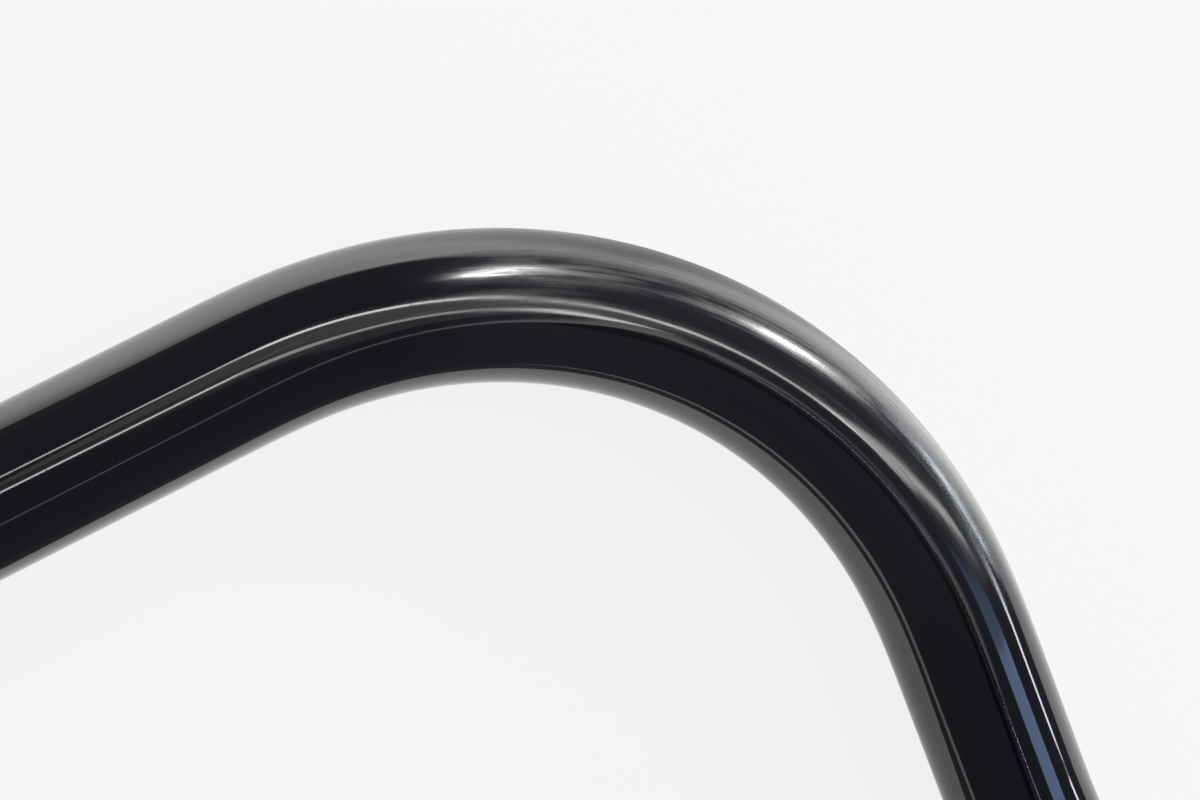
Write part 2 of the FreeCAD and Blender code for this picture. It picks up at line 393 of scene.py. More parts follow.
@dataclass(frozen=True)
class MachinedAlloy:
    """Bare aluminium with the rings that a lathe leaves, square to the piece's axis."""

    axis: tuple[float, float, float]
    colour: tuple[float, float, float, float] = (0.60, 0.61, 0.63, 1.0)

    def material(self) -> bpy.types.Material:
        """Builds the finish on the frame's coordinates.

        Returns:
            The material.
        """
        s = Surface("machined_alloy")
        along = s.vectors("DOT_PRODUCT", s.place(), self.axis).output("Value")
        rings = s.noise(s.node("ShaderNodeCombineXYZ", None, {0: along}), 9000.0, 2.0, 0.6)
        stains = s.noise(s.place(), 260.0, 3.0)
        s.feed(
            Base_Color=s.mixed(stains.step(0.45, 0.8) * 0.5, self.colour, (0.42, 0.42, 0.43, 1.0)),
            Metallic=1.0,
            Roughness=0.27 + 0.16 * (rings - 0.5) + 0.12 * (stains - 0.5),
            Normal=s.relief(rings, 4 * MM / 1000),
        )
        return s.material


@dataclass(frozen=True)
class BlackOxide:
    """Oiled black oxide on a steel screw, thinner and greyer in patches."""

    colour: tuple[float, float, float, float] = (0.030, 0.030, 0.032, 1.0)

    def material(self) -> bpy.types.Material:
        """Builds the finish on the frame's coordinates.

        Returns:
            The material.
        """
        s = Surface("black_oxide")
        patches = s.noise(s.place(), 900.0, 3.0, 0.6)
        fine = s.noise(s.place(), 6000.0, 2.0)
        s.feed(
            Base_Color=s.mixed(patches.step(0.5, 0.8) * 0.6, self.colour, (0.075, 0.073, 0.072, 1.0)),
            Metallic=0.75,
            Roughness=0.36 + 0.2 * (patches - 0.5) + 0.1 * (fine - 0.5),
            Normal=s.relief(fine, 3 * MM / 1000),
        )
        return s.material


# ---- Meshes ---------------------------------------------------------------------------------------


class RingShape(Enum):
    """The outline that a ring of a turned piece has."""

    ROUND = "round"
    HEXAGON = "hexagon"


@dataclass(frozen=True)
class Ring:
    """One closed loop of a turned piece; a hexagon's radius is half its size across flats."""

    along: float
    radius: float
    shape: RingShape = RingShape.ROUND

    def reach(self, angle: float) -> float:
        """How far the ring is from the axis at an angle in radians.

        Args:
            angle: the direction round the axis.

        Returns:
            The distance.
        """
        if self.shape is RingShape.ROUND:
            return self.radius
        sixth = math.pi / 3
        return self.radius / math.cos((angle % sixth) - sixth / 2)


def corner(centre: tuple[float, float], radius: float, start: float, stop: float,
           steps: int = 4) -> list[Ring]:
    """Rings round an arc in the (along, radius) plane.

    Args:
        centre: the arc's centre as (along, radius).
        radius: the arc's own radius.
        start: the first angle in degrees, from the axis towards the outside.
        stop: the last angle in degrees.
        steps: how many spans the arc has.

    Returns:
        The rings, both ends included.
    """
    angles = [math.radians(start + (stop - start) * i / steps) for i in range(steps + 1)]
    return [Ring(centre[0] + radius * math.cos(a), centre[1] + radius * math.sin(a)) for a in angles]


def spaced(start: Ring, stop: Ring, spacing: float) -> list[Ring]:
    """Rings from one ring to just before another, no further apart than the spacing.

    Args:
        start: the first ring.
        stop: the ring that isn't reached.
        spacing: the widest gap.

    Returns:
        The rings.
    """
    count = max(1, math.ceil(abs(stop.along - start.along) / spacing))
    return [
        Ring(
            start.along + (stop.along - start.along) * i / count,
            start.radius + (stop.radius - start.radius) * i / count,
            start.shape,
        )
        for i in range(count)
    ]


def turned_mesh(name: str, rings: Sequence[Ring], sides: int, hollow: bool) -> bpy.types.Mesh:
    """A closed mesh round the X axis, with X along the piece.

    Args:
        name: the mesh's name.
        rings: the loops, in order along the outline.
        sides: how many points a loop has.
        hollow: whether the last loop joins the first, or both ends close in a point on the axis.

    Returns:
        The mesh, its faces outwards.
    """
    angles = [2 * math.pi * i / sides for i in range(sides)]
    points = [
        (ring.along, ring.reach(a) * math.cos(a), ring.reach(a) * math.sin(a))
        for ring in rings
        for a in angles
    ]
    faces: list[tuple[int, ...]] = []
    loops = len(rings)
    for here in range(loops if hollow else loops - 1):
        there = (here + 1) % loops
        for i in range(sides):
            j = (i + 1) % sides
            faces.append((here * sides + i, here * sides + j, there * sides + j, there * sides + i))
    if not hollow:
        for ring, order in ((0, -1), (loops - 1, 1)):
            points.append((rings[ring].along, 0.0, 0.0))
            tip = len(points) - 1
            base = ring * sides
            fan = [(base + i, base + (i + 1) % sides, tip) for i in range(sides)]
            faces += [face[::order] for face in fan]
    mesh = bpy.data.meshes.new(name)
    mesh.from_pydata(points, [], faces)
    mesh.update()
    if signed_volume(mesh) < 0:
        mesh.flip_normals()
    mesh.shade_smooth()
    mesh.set_sharp_from_angle(angle=SMOOTH_ANGLE)
    return mesh


def signed_volume(mesh: bpy.types.Mesh) -> float:
    """The mesh's volume, negative where its faces point inwards.

    Args:
        mesh: a closed mesh.

    Returns:
        The volume in cubic metres.
    """
    total = 0.0
    for face in mesh.polygons:
        first, *rest = [mesh.vertices[i].co for i in face.vertices]
        total += sum(first.dot(a.cross(b)) for a, b in zip(rest, rest[1:]))
    return total / 6


def piece(name: str, mesh: bpy.types.Mesh, finish: bpy.types.Material, body: str) -> bpy.types.Object:
    """A finished piece of the bar that rides on a body.

    Args:
        name: the piece's name.
        mesh: its mesh, in its place.
        finish: its material.
        body: the body that it moves with.

    Returns:
        The object.
    """
    mesh.materials.clear()
    mesh.materials.append(finish)
    made = bpy.data.objects.new(name, mesh)
    bpy.context.scene.collection.objects.link(made)
    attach(made, body)
    log.info("%s: %d faces on body %s", name, len(mesh.polygons), body)
    return made


def dressed(node: str, finish: bpy.types.Material) -> None:
    """Gives a CAD node its material, without touching its shape.

    Args:
        node: the CAD node's name.
        finish: its material.
    """
    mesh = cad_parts[node].data
    mesh.materials.clear()
    mesh.materials.append(finish)
    log.info("%s: CAD shape, finish %s", node, finish.name)


# ---- Geometry node trees --------------------------------------------------------------------------


class Shaper(Graph):
    """A geometry tree with named inputs that is applied to a mesh and leaves a plain mesh."""

    def __init__(self, name: str, sizes: dict[str, str]) -> None:
        """Starts a tree with a mesh, the named inputs and a finish.

        Args:
            name: the tree's name.
            sizes: the inputs' names, each with its socket type.
        """
        super().__init__(bpy.data.node_groups.new(name, "GeometryNodeTree"))
        face = self.tree.interface
        face.new_socket(name="Piece", in_out="INPUT", socket_type="NodeSocketGeometry")
        for label, kind in {**sizes, "Finish": "NodeSocketMaterial"}.items():
            face.new_socket(name=label, in_out="INPUT", socket_type=kind)
        face.new_socket(name="Piece", in_out="OUTPUT", socket_type="NodeSocketGeometry")
        self.given = self.node("NodeGroupInput")
        self.place = self.node("GeometryNodeInputPosition")

    def stored(self, geometry: Value, name: str, value: Value, kind: str = "FLOAT") -> Value:
        """Keeps a value on the mesh's points under a name."""
        settings = {"data_type": kind, "domain": "POINT"}
        inputs = {0: geometry, "Name": name, "Value": value}
        return self.node("GeometryNodeStoreNamedAttribute", settings, inputs)

    def end(self, geometry: Value) -> None:
        """Closes the tree with real geometry in its finish."""
        real = self.node("GeometryNodeRealizeInstances", None, {0: geometry})
        done = self.node("GeometryNodeSetMaterial", None, {0: real, "Material": self.given.output("Finish")})
        self.node("NodeGroupOutput", None, {0: done})

    def applied(self, mesh: bpy.types.Mesh, sizes: dict[str, object]) -> bpy.types.Mesh:
        """Runs the tree on a mesh.

        Args:
            mesh: the mesh to shape.
            sizes: a value for each named input.

        Returns:
            A plain mesh, with no modifier left behind.
        """
        carrier = bpy.data.objects.new(mesh.name + "_blank", mesh)
        bpy.context.scene.collection.objects.link(carrier)
        modifier = carrier.modifiers.new(self.tree.name, "NODES")
        modifier.node_group = self.tree
        inputs = [s for s in self.tree.interface.items_tree if s.in_out == "INPUT"]
        for socket in inputs:
            if socket.name in sizes:
                modifier[socket.identifier] = sizes[socket.name]
        seen = carrier.evaluated_get(bpy.context.evaluated_depsgraph_get())
        shaped = bpy.data.meshes.new_from_object(seen)
        carrier.modifiers.remove(modifier)
        bpy.data.objects.remove(carrier)
        shaped.name = mesh.name
        return shaped


class BendShaper(Shaper):
    """Bends a straight piece that lies along X onto a path, as a tube bender does.

    It keeps each point's straight place as "stock" and the bending strain there as "strain": above 0
    where the wall is stretched, below 0 where it is compressed.
    """

    def __init__(self) -> None:
        """Builds the tree."""
        super().__init__("bend_onto_path", {"Path": "NodeSocketObject", "Probe": "NodeSocketFloat"})
        info = self.node("GeometryNodeObjectInfo", None, {"Object": self.given.output("Path")})
        path = info.output("Geometry")
        parts = self.node("ShaderNodeSeparateXYZ", None, {0: self.place})
        along = parts.output("X")
        probe = self.given.output("Probe")
        here = self.sampled(path, along)
        tangent, normal = here.output("Tangent"), here.output("Normal")
        square = self.vectors("CROSS_PRODUCT", tangent, normal)
        offset = self.vectors(
            "ADD", self.scaled(normal, parts.output("Y")), self.scaled(square, parts.output("Z"))
        )
        ahead = self.sampled(path, along + probe).output("Tangent")
        behind = self.sampled(path, along - probe).output("Tangent")
        curvature = self.scaled(self.vectors("SUBTRACT", ahead, behind), 0.5 / probe)
        strain = -self.vectors("DOT_PRODUCT", curvature, offset).output("Value")
        kept = self.stored(self.given.output("Piece"), "stock", self.place, "FLOAT_VECTOR")
        kept = self.stored(kept, "strain", strain)
        target = self.vectors("ADD", here.output("Position"), offset)
        self.end(self.node("GeometryNodeSetPosition", None, {"Geometry": kept, "Position": target}))

    def sampled(self, path: Value, length: Value) -> Value:
        """The path's point, tangent and normal at a length."""
        settings = {"mode": "LENGTH", "use_all_curves": True}
        return self.node("GeometryNodeSampleCurve", settings, {"Curves": path, "Length": length})


class RidgeShaper(Shaper):
    """Cuts ridges into a round piece along X: a thread, or a straight knurl where nothing winds."""

    def __init__(self) -> None:
        """Builds the tree."""
        sizes = ("Ridges Around", "Ridges per Metre", "Depth", "From", "To", "Run Out", "Least Radius")
        super().__init__("ridges", {name: "NodeSocketFloat" for name in sizes})
        around, rate, depth, start, stop, fade, least = (self.given.output(name) for name in sizes)
        parts = self.node("ShaderNodeSeparateXYZ", None, {0: self.place})
        x, y, z = (parts.output(axis) for axis in "XYZ")
        radius = (y * y + z * z).maths("SQRT")
        turn = z.maths("ARCTAN2", y) / (2 * math.pi)
        phase = around * turn + x * rate
        saw = (phase.maths("FRACT") - 0.5).maths("ABSOLUTE") * 2.0
        flank = (saw * 1.25 - 0.125).maths("MINIMUM", 1.0).maths("MAXIMUM", 0.0)
        inside = ((x - start) / fade).maths("MINIMUM", (stop - x) / fade)
        inside = inside.maths("MINIMUM", 1.0).maths("MAXIMUM", 0.0)
        outer = radius.maths("GREATER_THAN", least)
        cut = depth * flank * inside * outer
        shrink = (radius - cut) / radius.maths("MAXIMUM", 1e-6)
        whole = self.node("ShaderNodeCombineXYZ", None, {0: x, 1: y * shrink, 2: z * shrink})
        self.end(self.node("GeometryNodeSetPosition", None, {
            "Geometry": self.given.output("Piece"), "Position": whole}))


# ---- The bar --------------------------------------------------------------------------------------


class Bend(Enum):
    """The bends of one half of the bar, from the middle outwards."""

    TOP = "top"
    HOOK = "hook"


@dataclass
class BarPath:
    """The centreline of the whole bar, from the left open end to the right one."""

    width: float = 400 * MM
    radii: dict[Bend, float] = field(default_factory=lambda: {Bend.TOP: 92 * MM, Bend.HOOK: 52 * MM})
    hook_angle: float = math.radians(135)
    ramp_length: float = 24 * MM
    drop_length: float = 100 * MM
    ease_angle: float = math.radians(3)
    ease_ratio: float = 2.0
    arc_limit: float = math.radians(30)
    resolution: int = 64
    half_length: float = field(init=False)

    def arcs(self, bend: Bend) -> list[tuple[float, float]]:
        """The arcs of a bend as (radius, angle), gentler where it starts and ends.

        Args:
            bend: which bend.

        Returns:
            The arcs in order.
        """
        whole = math.pi / 2 if bend is Bend.TOP else self.hook_angle
        radius = self.radii[bend]
        ease = (radius * self.ease_ratio, self.ease_angle)
        return [ease, (radius, whole - 2 * self.ease_angle), ease]

    def half(self) -> list[tuple[Vector, Vector, float, float]]:
        """Walks the right half outwards.

        Returns:
            Knots as (point, heading, handle before, handle after), with the handles' lengths.
        """
        turned, advance = 0.0, 0.0
        for radius, angle in self.arcs(Bend.TOP):
            advance += radius * (math.sin(turned + angle) - math.sin(turned))
            turned += angle
        point, heading = Vector((0, 0, 0)), Vector((1, 0, 0))
        self.half_length = 0.0
        knots = [(point, heading, 0.0, 0.0)]

        def straight(length: float) -> None:
            """Adds a straight stretch.

            Args:
                length: its length.
            """
            nonlocal point
            knots[-1] = (*knots[-1][:3], length / 3)
            point = point + heading * length
            knots.append((point, heading, length / 3, 0.0))
            self.half_length += length

        def bend(which: Bend, towards: Vector) -> None:
            """Adds a bend that turns the heading to one side.

            Args:
                which: the bend.
                towards: the side that it turns to.
            """
            nonlocal point, heading
            axis = heading.cross(towards).normalized()
            for radius, angle in self.arcs(which):
                parts = math.ceil(angle / self.arc_limit)
                step = angle / parts
                handle = 4 / 3 * math.tan(step / 4) * radius
                for _ in range(parts):
                    knots[-1] = (*knots[-1][:3], handle)
                    centre = point + axis.cross(heading) * radius
                    turn = Matrix.Rotation(step, 3, axis)
                    point = centre + turn @ (point - centre)
                    heading = turn @ heading
                    knots.append((point, heading, handle, 0.0))
                self.half_length += radius * angle

        straight(self.width / 2 - advance)
        bend(Bend.TOP, Vector((0, -1, 0)))
        straight(self.ramp_length)
        bend(Bend.HOOK, Vector((0, 0, 1)))
        straight(self.drop_length)
        return knots

    def curve(self) -> bpy.types.Object:
        """The path as a Bezier curve object.

        Returns:
            The object, linked to the scene.
        """
        right = self.half()
        left = [
            (Vector((-p.x, p.y, p.z)), Vector((h.x, -h.y, -h.z)), after, before)
            for p, h, before, after in right
        ]
        knots = left[:0:-1] + right
        data = bpy.data.curves.new("bar_path", "CURVE")
        data.dimensions = "3D"
        data.resolution_u = self.resolution
        spline = data.splines.new("BEZIER")
        spline.bezier_points.add(len(knots) - 1)
        for knot, (point, heading, before, after) in zip(spline.bezier_points, knots):
            knot.handle_left_type = knot.handle_right_type = "FREE"
            knot.co = point
            knot.handle_left = point - heading * (before or after)
            knot.handle_right = point + heading * (after or before)
        made = bpy.data.objects.new("bar_path", data)
        bpy.context.scene.collection.objects.link(made)
        return made


@dataclass
class Bar:
    """The bent tube and the sleeve that the stem clamps."""

    path: BarPath = field(default_factory=BarPath)
    radius: float = 11.9 * MM
    wall: float = 2 * MM
    end_break: float = 0.4 * MM
    ring_spacing: float = 2 * MM
    sides: int = 96
    clamp_radius: float = 12.7 * MM
    sleeve_length: float = 92 * MM
    sleeve_taper: float = 2.4 * MM
    sleeve_lip: float = 0.2 * MM
    groove_radius: float = 0.7 * MM
    groove_depth: float = 0.35 * MM
    groove_insets: tuple[float, ...] = (9 * MM, 6 * MM)
    strain_probe: float = 5 * MM
    finish: BarAnodising = field(default_factory=BarAnodising)

    def stock(self, length: float) -> bpy.types.Mesh:
        """The tube while it is still straight, from 0 to its length along X.

        Args:
            length: the tube's whole length.

        Returns:
            The mesh.
        """
        bore = self.radius - self.wall
        c = self.end_break
        outline = [
            *spaced(Ring(c, self.radius), Ring(length - c, self.radius), self.ring_spacing),
            Ring(length - c, self.radius),
            Ring(length, self.radius - c),
            Ring(length, bore + c),
            *spaced(Ring(length - c, bore), Ring(c, bore), 2 * self.ring_spacing),
            Ring(c, bore),
            Ring(0.0, bore + c),
            Ring(0.0, self.radius - c),
        ]
        return turned_mesh("bar_tube_skin", outline, self.sides, hollow=True)

    def build_tube(self, bender: BendShaper) -> None:
        """Turns the tube and bends it onto its path.

        Args:
            bender: the tree that bends it.
        """
        path = self.path.curve()
        length = 2 * self.path.half_length
        finish = self.finish.material(self.path.half_length)
        sizes = {"Path": path, "Probe": self.strain_probe, "Finish": finish}
        mesh = bender.applied(self.stock(length), sizes)
        bpy.data.objects.remove(path)
        skin = piece("bar_tube_skin", mesh, finish, "bar")
        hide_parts("bar_tube")

    def build_sleeve(self) -> None:
        """Turns the sleeve with its tapered ends and its grooves."""
        half = self.sleeve_length / 2
        dip = self.groove_radius - self.groove_depth
        spread = math.degrees(math.acos(dip / self.groove_radius))
        inner = self.radius
        rings = [Ring(-half, inner), Ring(-half, inner + self.sleeve_lip)]
        rings.append(Ring(-half + self.sleeve_taper, self.clamp_radius))
        grooves = sorted([-half + i for i in self.groove_insets] + [half - i for i in self.groove_insets])
        for middle in grooves:
            centre = (middle, self.clamp_radius + dip)
            rings += corner(centre, self.groove_radius, 270 - spread, 270 + spread, 8)
        rings.append(Ring(half - self.sleeve_taper, self.clamp_radius))
        rings += [Ring(half, inner + self.sleeve_lip), Ring(half, inner)]
        mesh = turned_mesh("centre_sleeve_skin", rings, self.sides, hollow=True)
        finish = TurnedAnodising("sleeve_anodising", (1.0, 0.0, 0.0)).material()
        skin = piece("centre_sleeve_skin", mesh, finish, "bar")
        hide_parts("centre_sleeve")


# ---- The end plugs --------------------------------------------------------------------------------


class Side(Enum):
    """The rider's side of the bar."""

    LEFT = "left"
    RIGHT = "right"


@dataclass
class EndPlug:
    """One expander plug: its turned cap, its screw, and the collet and wedge nut inside the tube."""

    side: Side
    path: BarPath
    radius: float = 11.9 * MM
    spigot_radius: float = 9.75 * MM
    spigot_length: float = 8 * MM
    rim: float = 2.4 * MM
    dome: float = 2.2 * MM
    edge: float = 0.6 * MM
    pocket_radius: float = 4.5 * MM
    hole_radius: float = 2.75 * MM
    head_seat: float = -0.8 * MM
    head_radius: float = 4.25 * MM
    head_height: float = 5 * MM
    shank_radius: float = 2.5 * MM
    screw_length: float = 35 * MM
    socket_half: float = 2 * MM
    socket_depth: float = 2.6 * MM
    socket_chamfer: float = 0.35 * MM
    head_underside: float = 0.2 * MM
    chamfer: float = 0.5 * MM
    pitch: float = 0.8 * MM
    thread_length: float = 24 * MM
    thread_depth: float = 0.43 * MM
    knurl_count: int = 40
    knurl_depth: float = 0.14 * MM
    sides: int = 96
    screw_sides: int = 120

    def seat(self) -> Matrix:
        """Takes a piece that is turned along X to the plug's axis, with its zero at the tube's end.

        Returns:
            The placing matrix.
        """
        end, heading = self.path.half()[-1][:2]
        across = 1 if self.side is Side.RIGHT else -1
        tilt = Vector((0, 1, 0)).rotation_difference(heading).to_matrix().to_4x4()
        turn = tilt @ Matrix.Rotation(math.pi / 2, 4, "Z")
        return Matrix.Translation((across * end.x, end.y, end.z)) @ turn

    def add(self, part: str, mesh: bpy.types.Mesh, finish: bpy.types.Material, body: str, slot: str) -> None:
        """Seats a turned mesh, and shows it instead of its CAD node.

        Args:
            part: the last part of the node's name.
            mesh: the piece, turned along X.
            finish: its material.
            body: the body that it moves with, without the side.
            slot: not used.
        """
        mesh.transform(self.seat())
        node = f"{self.side.value}_plug_{part}"
        made = piece(f"{node}_skin", mesh, finish, f"{self.side.value}_{body}")
        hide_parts(node)

    def cap(self) -> bpy.types.Mesh:
        """The domed cap, hollow for the screw and its head.

        Returns:
            The mesh, turned along X.
        """
        top = self.rim + self.dome
        shoulder = self.radius - self.edge
        half_way = ((self.pocket_radius + shoulder) / 2, self.rim + self.dome * 0.75)
        dome = arc_through((shoulder, self.rim), half_way, (self.pocket_radius, top), 14)
        ease = 0.15 * MM
        rings = [
            Ring(-self.spigot_length, self.hole_radius),
            Ring(-self.spigot_length, self.spigot_radius - ease),
            Ring(-self.spigot_length + ease, self.spigot_radius),
            Ring(0.0, self.spigot_radius),
            Ring(0.0, self.radius - ease),
            Ring(ease, self.radius),
            *corner((self.rim - self.edge, shoulder), self.edge, 90, 0, 6),
            *[Ring(along, radius) for radius, along in dome[1:-1]],
            *corner((top - ease, self.pocket_radius + ease), ease, 40, -90, 4),
            Ring(self.head_seat, self.pocket_radius),
            Ring(self.head_seat, self.hole_radius),
        ]
        return turned_mesh(f"{self.side.value}_plug_cap_skin", rings, self.sides, hollow=True)

    def screw(self, ridges: RidgeShaper, finish: bpy.types.Material) -> bpy.types.Mesh:
        """The socket head screw with its rolled thread and its knurled head.

        Args:
            ridges: the tree that cuts thread and knurl.
            finish: its material.

        Returns:
            The mesh, turned along X.
        """
        top = self.head_seat + self.head_height
        end = self.head_seat - self.screw_length
        c = self.chamfer
        fine = self.pitch / 12
        under = self.head_underside
        neck = Ring(self.head_seat, self.shank_radius)
        thread_end = Ring(end + self.thread_length, self.shank_radius)
        head_start = Ring(self.head_seat + under, self.head_radius)
        rings = [
            Ring(end, self.shank_radius - c),
            *spaced(Ring(end + c, self.shank_radius), thread_end, fine),
            *spaced(thread_end, neck, 1 * MM),
            neck,
            Ring(self.head_seat, self.head_radius - under),
            *spaced(head_start, Ring(top - c, self.head_radius), 0.4 * MM),
            *corner((top - c, self.head_radius - c), c, 90, 0, 6),
            Ring(top, self.socket_half + self.socket_chamfer),
            Ring(top - 0.12 * MM, self.socket_half, RingShape.HEXAGON),
            Ring(top - self.socket_depth, self.socket_half, RingShape.HEXAGON),
            Ring(top - self.socket_depth - self.socket_chamfer, 0.6 * MM),
        ]
        mesh = turned_mesh(f"{self.side.value}_plug_screw_skin", rings, self.screw_sides, hollow=False)
        thread = {
            "Ridges Around": 1.0, "Ridges per Metre": 1 / self.pitch, "Depth": self.thread_depth,
            "From": end, "To": end + self.thread_length, "Run Out": self.pitch,
            "Least Radius": self.shank_radius - c / 2, "Finish": finish,
        }
        knurl = {
            "Ridges Around": float(self.knurl_count), "Ridges per Metre": 0.0, "Depth": self.knurl_depth,
            "From": self.head_seat + 0.3 * MM, "To": top - c, "Run Out": 0.5 * MM,
            "Least Radius": self.head_radius - 0.1 * MM, "Finish": finish,
        }
        return ridges.applied(ridges.applied(mesh, thread), knurl)

    def build(self, ridges: RidgeShaper, nylon: bpy.types.Material, alloy: bpy.types.Material,
              oxide: bpy.types.Material) -> None:
        """Builds the plug's pieces and dresses those that keep their CAD shape.

        Args:
            ridges: the tree that cuts thread and knurl.
            nylon: the collet's finish.
            alloy: the wedge nut's finish.
            oxide: the screw's finish.
        """
        seat = self.seat()
        axis, centre = seat.col[0].xyz, seat.to_translation()
        anodising = TurnedAnodising(f"{self.side.value}_cap_anodising", tuple(axis), tuple(centre))
        self.add("cap", self.cap(), anodising.material(), "plug", "cap_anodised")
        self.add("screw", self.screw(ridges, oxide), oxide, "screw", "screw_steel")
        dressed(f"{self.side.value}_plug_expander", nylon)
        dressed(f"{self.side.value}_plug_wedge_nut", alloy)


def arc_through(first: tuple[float, float], via: tuple[float, float], last: tuple[float, float],
                steps: int) -> list[tuple[float, float]]:
    """Points on the arc through three points.

    Args:
        first: where it starts.
        via: a point on the way.
        last: where it ends.
        steps: how many spans it has.

    Returns:
        The points, both ends included.
    """
    (ax, ay), (bx, by), (cx, cy) = first, via, last
    d = 2 * (ax * (by - cy) + bx * (cy - ay) + cx * (ay - by))
    a, b, c = ax * ax + ay * ay, bx * bx + by * by, cx * cx + cy * cy
    ox = (a * (by - cy) + b * (cy - ay) + c * (ay - by)) / d
    oy = (a * (cx - bx) + b * (ax - cx) + c * (bx - ax)) / d
    radius = math.hypot(ax - ox, ay - oy)
    start, stop = math.atan2(ay - oy, ax - ox), math.atan2(cy - oy, cx - ox)
    spans = [start + (stop - start) * i / steps for i in range(steps + 1)]
    return [(ox + radius * math.cos(t), oy + radius * math.sin(t)) for t in spans]


# ---- The studio -----------------------------------------------------------------------------------


@dataclass(frozen=True)
class Panel:
    """A flat lamp, invisible to the camera, that faces a point."""

    name: str
    ends: tuple[tuple[float, float, float], tuple[float, float, float]]
    breadth: float
    glow: float
    colour: tuple[float, float, float] = (1.0, 1.0, 1.0)

    def build(self, target: Vector) -> None:
        """Hangs the lamp between its two ends, facing the target.

        Args:
            target: the point that it lights.
        """
        first, last = (Vector(end) for end in self.ends)
        middle = (first + last) / 2
        along = (last - first).normalized()
        back = middle - target
        back = (back - along * back.dot(along)).normalized()
        light = bpy.data.lights.new(self.name, "AREA")
        light.shape = "RECTANGLE"
        light.size = (last - first).length
        light.size_y = self.breadth
        light.energy = self.glow * math.pi * light.size * light.size_y
        light.color = self.colour
        lamp = bpy.data.objects.new(self.name, light)
        axes = Matrix((along, back.cross(along), back)).transposed().to_4x4()
        lamp.matrix_world = Matrix.Translation(middle) @ axes
        lamp.visible_camera = False
        bpy.context.scene.collection.objects.link(lamp)


@dataclass(frozen=True)
class LampLine:
    """Narrow lamps end to end under the ceiling."""

    name: str
    points: tuple[tuple[float, float], ...]
    glows: tuple[float, ...]
    breadth: float = 0.045
    height: float = 1.2
    colour: tuple[float, float, float] = (1.0, 1.0, 0.97)

    def build(self, target: Vector) -> None:
        """Hangs one lamp between each two points, facing the target."""
        for i, (first, last) in enumerate(zip(self.points, self.points[1:])):
            ends = ((*first, self.height), (*last, self.height))
            Panel(f"{self.name}_{i}", ends, self.breadth, self.glows[i], self.colour).build(target)


@dataclass(frozen=True)
class Edge:
    """A straight edge of the floor sheet: a place is inside where across x + along y + offset is above 0."""

    across: float
    along: float
    offset: float

    def inwards(self, x: Value, y: Value) -> Value:
        """How far inside the edge a place is."""
        return self.across * x + self.along * y + self.offset


